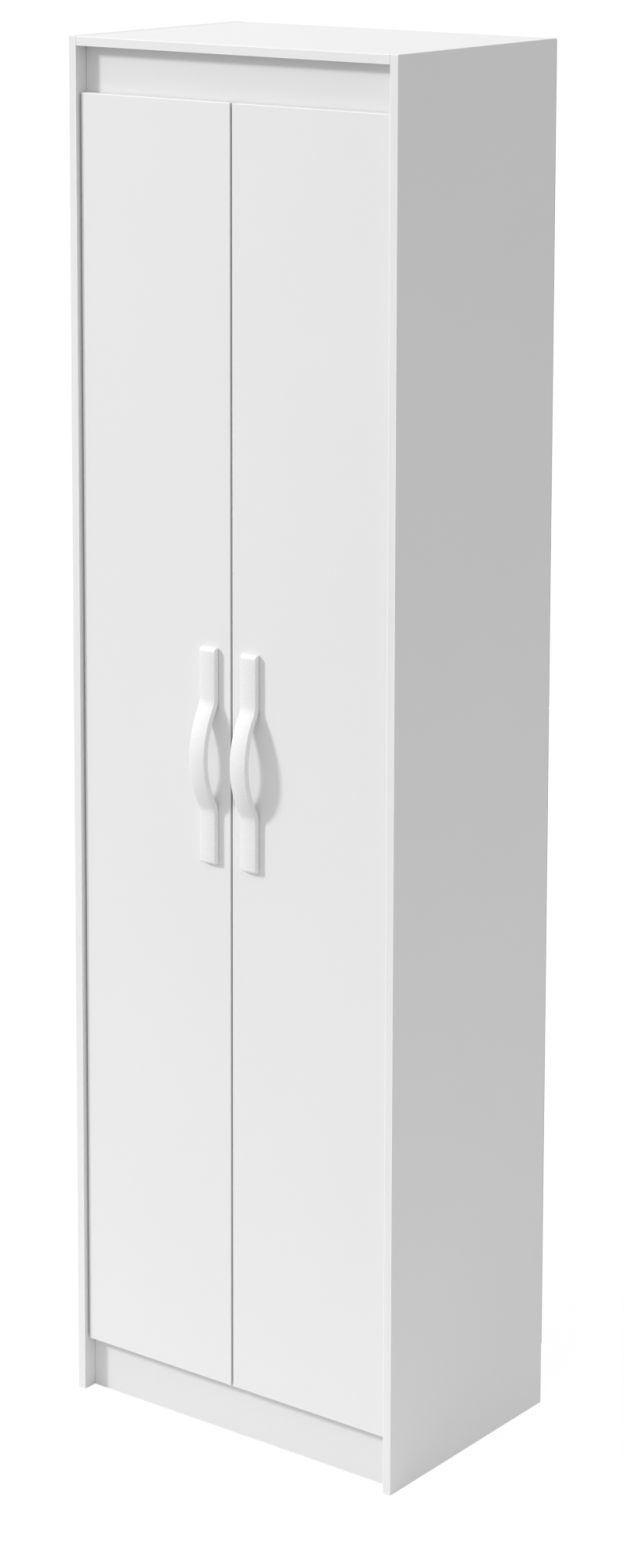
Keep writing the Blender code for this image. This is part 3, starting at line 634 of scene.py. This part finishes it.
def band_outline(sizes, thickness, inset, lift):
    """Cross-sections of the handle's band at many stations, with one ring of points for each.

    The outline is a rectangle, width by thickness, with a quarter circle at each corner. Each point is a
    share of the way across and through to the circles' centres, plus the radius in the direction of its
    swing. The front falls from its middle by the crown times the square of the share across, and the
    whole is drawn in by the inset. The results are distances across the band, and out from its middle.
    """
    right_angle = math.pi / 2
    quarter = np.linspace(0.0, right_angle, 7)
    front = np.linspace(-0.985, 0.985, FRONT_POINTS)
    side, back = np.array([0.94, -0.94]), np.array([0.96, 0.0, -0.96])
    runs = (
        (front, 1.0, right_angle),
        (1.0, 1.0, right_angle - quarter),
        (1.0, side, 0.0),
        (1.0, -1.0, -quarter),
        (back, -1.0, -right_angle),
        (-1.0, -1.0, -right_angle - quarter),
        (-1.0, -side, math.pi),
        (-1.0, 1.0, math.pi - quarter),
    )
    across, through, swing = np.hstack([np.stack(np.broadcast_arrays(*run)) for run in runs])[:, None]
    radius = np.minimum(sizes.edge, thickness / 2 - inset)[:, None]
    inner_across = sizes.width / 2 - radius - inset[:, None]
    inner_through = thickness[:, None] / 2 - radius - inset[:, None]
    x = across * inner_across + np.cos(swing) * radius
    out = through * inner_through + np.sin(swing) * radius + lift[:, None]
    fall = sizes.crown * (x / (sizes.width / 2)) ** 2
    return x, out - fall * np.clip(through, 0.0, 1.0)


def quarter_round(distance, radius):
    """Height of a quarter circle over the distance from its foot, and its radius from there on."""
    return np.sqrt(radius ** 2 - (radius - np.minimum(distance, radius)) ** 2)


def band_stations(sizes, rise):
    """Stations down one handle: height, distance from the door, tilt, thickness, inset and lift.

    A straight foot, an arc that turns away from the door, an arc of the bow up to the middle, and the same
    mirrored. The two arcs meet at the steepest tilt, whose sine is half the span over the sum of their
    radii. At the end the thickness grows as a quarter circle, and the inset shrinks as a smaller one.
    """
    half_span = sizes.span / 2
    both_radii = (half_span ** 2 + rise ** 2) / (2 * rise)
    bow_radius = both_radii - sizes.bend
    steepest = math.asin(half_span / both_radii)
    half = sizes.length / 2
    middle = sizes.thickness / 2
    # Fine steps over the edge's small round, then wider ones over the round of the end and down the foot
    eased = 1.0 - np.cos(np.linspace(0.0, math.pi / 2, 9))
    from_end = np.concatenate((sizes.edge * eased[:5], sizes.end_round * eased[3:]))
    from_end = np.unique(np.round(from_end, 7))
    foot = half - np.linspace(half - sizes.end_round, half_span, 9)[1:-1]
    drop = np.concatenate((from_end, foot))
    thickness = sizes.thickness - sizes.end_round + quarter_round(drop, sizes.end_round)
    inset = sizes.edge - quarter_round(drop, sizes.edge)
    lift = (thickness - sizes.thickness) / 2
    bend = np.linspace(0.0, steepest, 10)
    bow = np.linspace(steepest, 0.0, 19)[1:]
    height = np.concatenate((half - drop, half_span - sizes.bend * np.sin(bend), bow_radius * np.sin(bow)))
    away = np.concatenate((np.full(drop.shape, middle), middle + sizes.bend * (1.0 - np.cos(bend)),
                           middle + rise - bow_radius * (1.0 - np.cos(bow))))
    tilt = np.concatenate((np.zeros(drop.shape), bend, bow))
    plain = np.zeros(len(bend) + len(bow))
    thickness = np.concatenate((thickness, plain + sizes.thickness))
    inset = np.concatenate((inset, plain))
    lift = np.concatenate((lift, plain))
    halves = ((height, -1.0), (away, 1.0), (tilt, -1.0), (thickness, 1.0), (inset, 1.0), (lift, 1.0))
    return [np.concatenate((part, sign * part[-2::-1])) for part, sign in halves]


def grip_mesh(name, sizes, centre, foot_face, rise):
    """The handle: its band's outline carried along its line, square to it.

    The map has the distance round the band from the middle of its front, and the distance along its line.
    The two ends are single flat faces, whose map goes on beyond the end by the depth behind the front.
    """
    height, away, tilt, thickness, inset, lift = band_stations(sizes, rise)
    across, out = band_outline(sizes, thickness, inset, lift)
    x = centre.x + across
    y = foot_face - (away[:, None] + out * np.cos(tilt)[:, None])
    z = centre.z + height[:, None] + out * np.sin(tilt)[:, None]
    points = np.stack((x, y, z), axis=-1)
    rings, sides = points.shape[:2]
    faces = ring_faces(1, rings, sides)
    steps = np.linalg.norm(np.diff(np.stack((height, away), axis=-1), axis=0), axis=1)
    along = np.concatenate(([0.0], np.cumsum(steps)))
    wide = np.stack((across, out), axis=-1)
    closed = np.concatenate((wide, wide[:, :1]), axis=1)
    lengths = np.linalg.norm(np.diff(closed, axis=1), axis=2)
    round_band = np.concatenate((np.zeros((rings, 1)), np.cumsum(lengths, axis=1)), axis=1)
    round_band -= round_band[:, FRONT_POINTS // 2][:, None]
    ring, side = np.indices((rings - 1, sides))
    corners = ((ring, side), (ring + 1, side), (ring + 1, side + 1), (ring, side + 1))
    flat = np.stack([np.stack((round_band[r, s], along[r]), axis=-1) for r, s in corners], axis=2)
    flat = flat.reshape(-1, 2)
    caps = []
    for row, order, sign in ((0, np.arange(sides), -1.0), (rings - 1, np.arange(sides)[::-1], 1.0)):
        caps.append((row * sides + order).tolist())
        beyond = out[row].max() - out[row, order]
        flat = np.concatenate((flat, np.stack((across[row, order], along[row] + sign * beyond), axis=-1)))
    mesh = bpy.data.meshes.new(name)
    mesh.from_pydata(points.reshape(-1, 3).tolist(), [], faces.tolist() + caps)
    mesh.uv_layers.new(name="Band").data.foreach_set("uv", flat.ravel())
    mesh.shade_smooth()
    return mesh


class CABINET_OT_finishes(bpy.types.Operator):
    """Give the boards, doors, back, strip and hardware their finishes"""

    bl_idname = "cabinet.finishes"
    bl_label = "Board and hardware finishes"

    def execute(self, context):
        colours = context.scene.cabinet_colours
        # The header rail and the plinths take the darker rail coat, which is painted shade for their recess
        coats = {"door": colours.door, "rail": colours.rail, "plinth": colours.rail}
        for name in RAW_EDGES:
            coat = coats.get(name.split("_")[-1], colours.board)
            dress(name, board_finish(name, coat, colours))
        for name in ("back_sheet_lower", "back_sheet_upper"):
            dress(name, hardboard_finish(name, colours))
        dress("back_joint_strip", plastic_finish("strip_plastic", colours.strip, dull=0.34))
        steel = metal_finish("bright_steel", colours.steel, dull=0.20)
        zinc = metal_finish("satin_zinc", colours.zinc, dull=0.26)
        dress("wall_bracket", steel)
        for side in SIDES:
            for level in LEVELS:
                dress(f"{side}_{level}_hinge_arm", steel)
                dress(f"{side}_{level}_hinge_pin", steel)
                dress(f"{side}_{level}_hinge_cup", zinc)
        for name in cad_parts:
            if "_shelf_support_" in name:
                dress(name, zinc)
        return {"FINISHED"}


class CABINET_OT_grips(bpy.types.Operator):
    """Add the two moulded bow handles"""

    bl_idname = "cabinet.grips"
    bl_label = "Handles"

    def execute(self, context):
        sizes = context.scene.cabinet_handles
        material = grip_finish(sizes, context.scene.cabinet_colours)
        for side in SIDES:
            node = f"{side}_handle"
            low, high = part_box(node)
            rise = high.y - low.y - sizes.thickness
            mesh = grip_mesh(f"{side}_grip", sizes, (low + high) / 2, high.y, rise)
            add_piece(f"{side}_grip", mesh, material, f"{side}_door_leaf", [node])
        return {"FINISHED"}


class CABINET_OT_grip_screws(bpy.types.Operator):
    """Add the screws that hold the handles, driven from inside the doors"""

    bl_idname = "cabinet.grip_screws"
    bl_label = "Handle screws"

    def execute(self, context):
        sizes = context.scene.cabinet_fittings
        material = metal_finish("screw_zinc", context.scene.cabinet_colours.steel, dull=0.22)
        head, fillet, tip_length, tip_taper = 0.0024, 0.0002, 0.0006, 0.0005
        for side in SIDES:
            nodes = [f"{side}_handle_screw_{end}" for end in ENDS]
            boxes = [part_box(node) for node in nodes]
            low, high = boxes[0]
            shank = high.y - low.y - head
            stem = [(sizes.grip_head, 0.0), (sizes.grip_shank + fillet, 0.0), (sizes.grip_shank, -fillet),
                    (sizes.grip_shank, tip_length - shank), (sizes.grip_shank - tip_taper, -shank)]
            points = cross_head(sizes.grip_head, head, 0.0)
            # The stem takes the place of the rim and underside that a sunk head has
            points = np.concatenate((points[:-2], turned_points(stem, even_angles(points.shape[1]))))
            places = [((a.x + b.x) / 2, b.y - head, (a.z + b.z) / 2) for a, b in boxes]
            frames = facing(TO_BACK, turns_for(len(places), sizes))
            mesh = closed_mesh(f"{side}_grip_screws", stamped(points, places, frames))
            add_piece(f"{side}_grip_screws", mesh, material, f"{side}_door_leaf", nodes)
        return {"FINISHED"}


class CABINET_OT_hinge_screws(bpy.types.Operator):
    """Add the screws in the hinge cups and the hinge plates"""

    bl_idname = "cabinet.hinge_screws"
    bl_label = "Hinge screws"

    def execute(self, context):
        sizes = context.scene.cabinet_fittings
        material = metal_finish("hinge_screw_zinc", context.scene.cabinet_colours.zinc, dull=0.20)
        cup_rise, plate_rise = 0.0009, 0.0008
        cup_overhang, ear_distance = 0.00065, 0.0178
        plate_thickness, plate_length, plate_holes = 0.0016, 0.036, (0.20, 0.66)
        cup_head = cross_head(sizes.cup_head, cup_rise, sizes.sunk)
        plate_head = cross_head(sizes.plate_head, plate_rise, sizes.sunk)
        for side, sign in SIDES.items():
            places = []
            for low, high in hinge_boxes(side, "cup"):
                middle = (low.x + high.x) / 2 + sign * cup_overhang
                height = (low.z + high.z) / 2
                places += [(middle, high.y, height + step * ear_distance) for step in (-1, 1)]
            frames = facing(TO_BACK, turns_for(len(places), sizes))
            mesh = closed_mesh(f"{side}_cup_screws", stamped(cup_head, places, frames))
            add_piece(f"{side}_cup_screws", mesh, material, f"{side}_door_leaf")
            places = []
            for low, high in hinge_boxes(side, "arm"):
                wall = low.x if sign < 0 else high.x
                face = wall - sign * plate_thickness
                height = (low.z + high.z) / 2
                places += [(face, high.y - share * plate_length, height) for share in plate_holes]
            # One more turn is drawn than used, so that these don't repeat the turns of the cups' screws
            frames = facing((-sign, 0.0, 0.0), turns_for(len(places) + 1, sizes)[1:])
            mesh = closed_mesh(f"{side}_plate_screws", stamped(plate_head, places, frames))
            add_piece(f"{side}_plate_screws", mesh, material, "carcass")
        return {"FINISHED"}


class CABINET_OT_cams(bpy.types.Operator):
    """Add the cam fittings that draw the boards against the sides"""

    bl_idname = "cabinet.cams"
    bl_label = "Cam fittings"

    def execute(self, context):
        sizes = context.scene.cabinet_fittings
        radius = sizes.cam
        rise, shoulder, rim = 0.00035, 0.00030, 0.00018
        reach, slot, depth = 0.60, 0.20, 0.22
        shares = cross_rings(first=0.05, last=0.93, count=10, reach=reach)
        face = [(radius * share, rise) for share in shares]
        profile = face + [(0.975 * radius, shoulder), (radius, rim), (radius, -sizes.sunk)]
        points = crossed_points(profile, len(face), reach * radius, slot * radius, depth * radius)
        material = metal_finish("cam_zinc", context.scene.cabinet_colours.zinc, dull=0.34)
        shapes = []
        for name in ("top_board", "fixed_shelf", "bottom_board"):
            low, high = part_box(name)
            across = high.x - sizes.cam_inset
            depths = (low.y + sizes.cam_setback, high.y - sizes.cam_setback)
            places = [(sign * across, depth, low.z) for sign in (-1, 1) for depth in depths]
            shapes.append(stamped(points, places, facing(DOWN, turns_for(len(places), sizes))))
        for name, out in (("header_rail", TO_BACK), ("front_plinth", TO_BACK), ("rear_plinth", TO_FRONT)):
            low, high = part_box(name)
            across = high.x - sizes.cam_inset
            rear = high.y if out is TO_BACK else low.y
            places = [(sign * across, rear, (low.z + high.z) / 2) for sign in (-1, 1)]
            shapes.append(stamped(points, places, facing(out, turns_for(len(places), sizes))))
        mesh = closed_mesh("cam_fittings", np.concatenate(shapes))
        add_piece("cam_fittings", mesh, material, "carcass")
        return {"FINISHED"}


class CABINET_OT_back_nails(bpy.types.Operator):
    """Add the nails that hold the back sheets"""

    bl_idname = "cabinet.back_nails"
    bl_label = "Back nails"

    def execute(self, context):
        sizes = context.scene.cabinet_fittings
        material = metal_finish("nail_steel", context.scene.cabinet_colours.steel, dull=0.30)
        rise, seam_gap, stray = 0.0005, 0.006, 0.0012
        dome = dome_profile(sizes.nail, rise, sizes.sunk, np.linspace(0.06, 0.94, 4))
        points = turned_points(dome, even_angles(sides=12))
        back_low, back_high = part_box("back_sheet_lower")
        edge = (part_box("right_side_panel")[0].x + back_high.x) / 2
        bottom = back_low.z + sizes.nail_margin
        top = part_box("back_sheet_upper")[1].z - sizes.nail_margin
        seam_low, seam_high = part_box("back_joint_strip")
        rows = np.linspace(bottom, top, round((top - bottom) / sizes.nail_pitch) + 1)
        rows = rows[(rows < seam_low.z - seam_gap) | (rows > seam_high.z + seam_gap)]
        places = [(sign * edge, back_high.y, height) for sign in (-1, 1) for height in rows]
        columns = np.linspace(-edge, edge, 6)[1:-1]
        for name in ("bottom_board", "fixed_shelf", "top_board"):
            low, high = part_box(name)
            height = (low.z + high.z) / 2
            places += [(column, back_high.y, height) for column in columns]
        places = np.array(places)
        places[:, [0, 2]] += np.random.default_rng(sizes.seed).uniform(-stray, stray, (len(places), 2))
        frames = facing(TO_BACK, turns_for(len(places), sizes))
        mesh = closed_mesh("back_nails", stamped(points, places, frames))
        add_piece("back_nails", mesh, material, "carcass")
        return {"FINISHED"}


class CABINET_OT_bracket_screw(bpy.types.Operator):
    """Add the screw that holds the wall bracket under the top board"""

    bl_idname = "cabinet.bracket_screw"
    bl_label = "Bracket screw"

    def execute(self, context):
        sizes = context.scene.cabinet_fittings
        material = metal_finish("bracket_screw_steel", context.scene.cabinet_colours.steel, dull=0.24)
        low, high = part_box("wall_bracket")
        thickness, from_end, radius, rise = 0.0015, 0.010, 0.0042, 0.0016
        place = (0.0, low.y + from_end, high.z - thickness)
        points = cross_head(radius, rise, sizes.sunk)
        mesh = closed_mesh("bracket_screw", stamped(points, [place], facing(DOWN, turns_for(1, sizes))))
        add_piece("bracket_screw", mesh, material, "carcass")
        return {"FINISHED"}


class CABINET_OT_pads(bpy.types.Operator):
    """Add the milky pads that the doors close against"""

    bl_idname = "cabinet.pads"
    bl_label = "Bumper pads"

    def execute(self, context):
        material = plastic_finish("pad_rubber", context.scene.cabinet_colours.pad, dull=0.22)
        for side in SIDES:
            nodes = [f"{side}_bumper_{end}" for end in ENDS]
            boxes = [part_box(node) for node in nodes]
            low, high = boxes[0]
            radius, height = (high.x - low.x) / 2, high.y - low.y
            # A quarter ellipse turned about the outward axis: radius times sine, and height times cosine
            swing = np.linspace(0.08, math.pi / 2, 12)
            profile = np.stack((radius * np.sin(swing), height * np.cos(swing)), axis=-1)
            profile = np.concatenate((profile, [(0.97 * radius, 0.0)]))
            points = turned_points(profile, even_angles(sides=40))
            places = [((a.x + b.x) / 2, a.y, (a.z + b.z) / 2) for a, b in boxes]
            mesh = closed_mesh(f"{side}_pads", stamped(points, places, facing(TO_BACK, (0.0, 0.0))))
            add_piece(f"{side}_pads", mesh, material, f"{side}_door_leaf", nodes)
        return {"FINISHED"}


class CABINET_OT_stage(bpy.types.Operator):
    """Set the floor, the light and the camera"""

    bl_idname = "cabinet.stage"
    bl_label = "Floor, light and camera"

    def execute(self, context):
        settings = context.scene.cabinet_stage
        self.set_floor(context.scene, settings)
        self.set_light(context.scene, settings)
        self.set_camera(context.scene, settings)
        context.scene.view_settings.view_transform = "Standard"
        return {"FINISHED"}

    @staticmethod
    def seen(nodes):
        """1 for a ray from the camera, a gloss or a clear material, and 0 for one that lights."""
        path = nodes.add("ShaderNodeLightPath", {}, {}, "Is Camera Ray")
        gloss = nodes.maths("MAXIMUM", path.out("Is Glossy Ray"), path.out("Is Transmission Ray"))
        return nodes.maths("MAXIMUM", path, gloss)

    def set_floor(self, scene, settings):
        """A wide pale square whose seen colour goes most of the way to white and keeps the shadow."""
        reach, gap = 60.0, 0.0001
        near, far = 0.4, 3.0
        mesh = bpy.data.meshes.new("floor")
        corners = [(-reach, -reach, 0), (reach, -reach, 0), (reach, reach, 0), (-reach, reach, 0)]
        mesh.from_pydata(corners, [], [(0, 1, 2, 3)])
        floor = bpy.data.objects.new("floor", mesh)
        scene.collection.objects.link(floor)
        floor.location.z = -gap
        material = bpy.data.materials.new("pale_floor")
        material.use_nodes = True
        mesh.materials.append(material)
        nodes = Nodes(material.node_tree)
        material.node_tree.nodes.remove(material.node_tree.nodes["Principled BSDF"])
        distance = nodes.add("ShaderNodeVectorMath", {"operation": "LENGTH"}, {0: nodes.place()}, "Value")
        colour = nodes.mix(nodes.rise(distance, near, far), settings.floor_near, settings.floor_far)
        seen = self.seen(nodes)
        colour = nodes.mix(seen, colour, settings.floor_seen)
        matt = nodes.add("ShaderNodeBsdfDiffuse", {}, {"Color": colour})
        white = nodes.add("ShaderNodeEmission", {}, {"Strength": settings.floor_glow})
        both = nodes.add("ShaderNodeMixShader", {}, {0: seen * settings.floor_white, 1: matt, 2: white})
        nodes.feed(material.node_tree.nodes["Material Output"].inputs["Surface"], both)

    def set_light(self, scene, settings):
        """A sky that brightens overhead and is seen as white, and a soft lamp to the front left."""
        world = bpy.data.worlds.new("studio")
        world.use_nodes = True
        scene.world = world
        nodes = Nodes(world.node_tree)
        direction = nodes.add("ShaderNodeTexCoord", {}, {}, "Generated")
        height = nodes.maths("MAXIMUM", nodes.parts(direction)[2], 0.0)
        strength = settings.horizon + settings.zenith * height
        sky = nodes.add("ShaderNodeBackground", {}, {"Color": (1.0, 1.0, 1.0), "Strength": strength})
        white = nodes.add("ShaderNodeBackground", {}, {"Color": (1.0, 1.0, 1.0), "Strength": 1.0})
        both = nodes.add("ShaderNodeMixShader", {}, {0: self.seen(nodes), 1: sky, 2: white})
        nodes.feed(world.node_tree.nodes["World Output"].inputs["Surface"], both)
        lamp = bpy.data.lights.new("key", "POINT")
        lamp.energy = settings.key
        lamp.shadow_soft_size = settings.key_radius
        key = bpy.data.objects.new("key", lamp)
        scene.collection.objects.link(key)
        key.location = settings.key_place

    def set_camera(self, scene, settings):
        """The photograph's viewpoint: ahead, to the right and above the top, looking slightly down."""
        data = bpy.data.cameras.new("camera")
        data.sensor_width = 36.0
        data.lens = settings.lens
        data.shift_x, data.shift_y = settings.shift
        camera = bpy.data.objects.new("camera", data)
        scene.collection.objects.link(camera)
        camera.location = settings.camera_place
        camera.rotation_euler = (math.pi / 2 - settings.camera_tilt, 0.0, settings.camera_turn)
        scene.camera = camera


# In the order in which main calls them
OPERATORS = (CABINET_OT_stage, CABINET_OT_finishes, CABINET_OT_grips, CABINET_OT_grip_screws,
             CABINET_OT_hinge_screws, CABINET_OT_cams, CABINET_OT_back_nails, CABINET_OT_bracket_screw,
             CABINET_OT_pads)
GROUPS = {
    "cabinet_colours": CabinetColours,
    "cabinet_handles": HandleSizes,
    "cabinet_fittings": FittingSizes,
    "cabinet_stage": StageSettings,
}


class CABINET_PT_sidebar(bpy.types.Panel):
    """The cabinet's operators and settings"""

    bl_idname = "CABINET_PT_sidebar"
    bl_label = "Utility cabinet"
    bl_space_type = "VIEW_3D"
    bl_region_type = "UI"
    bl_category = "Cabinet"

    def draw(self, context):
        for operator in OPERATORS:
            self.layout.operator(operator.bl_idname)
        for name, group in GROUPS.items():
            box = self.layout.box()
            box.label(text=group.__doc__)
            for setting in group.__annotations__:
                box.prop(getattr(context.scene, name), setting)


def register():
    """Register the settings, the operators and the panel."""
    for name, group in GROUPS.items():
        bpy.utils.register_class(group)
        setattr(bpy.types.Scene, name, PointerProperty(type=group))
    for kind in (*OPERATORS, CABINET_PT_sidebar):
        bpy.utils.register_class(kind)


def unregister():
    """Take away what register added, in the opposite order."""
    for kind in (CABINET_PT_sidebar, *reversed(OPERATORS)):
        bpy.utils.unregister_class(kind)
    for name, group in reversed(GROUPS.items()):
        delattr(bpy.types.Scene, name)
        bpy.utils.unregister_class(group)


def main():
    """Register the settings, the operators and the panel, then run every operator in turn."""
    register()
    for operator in OPERATORS:
        category, name = operator.bl_idname.split(".")
        getattr(getattr(bpy.ops, category), name)()


if __name__ == "__main__":
    main()
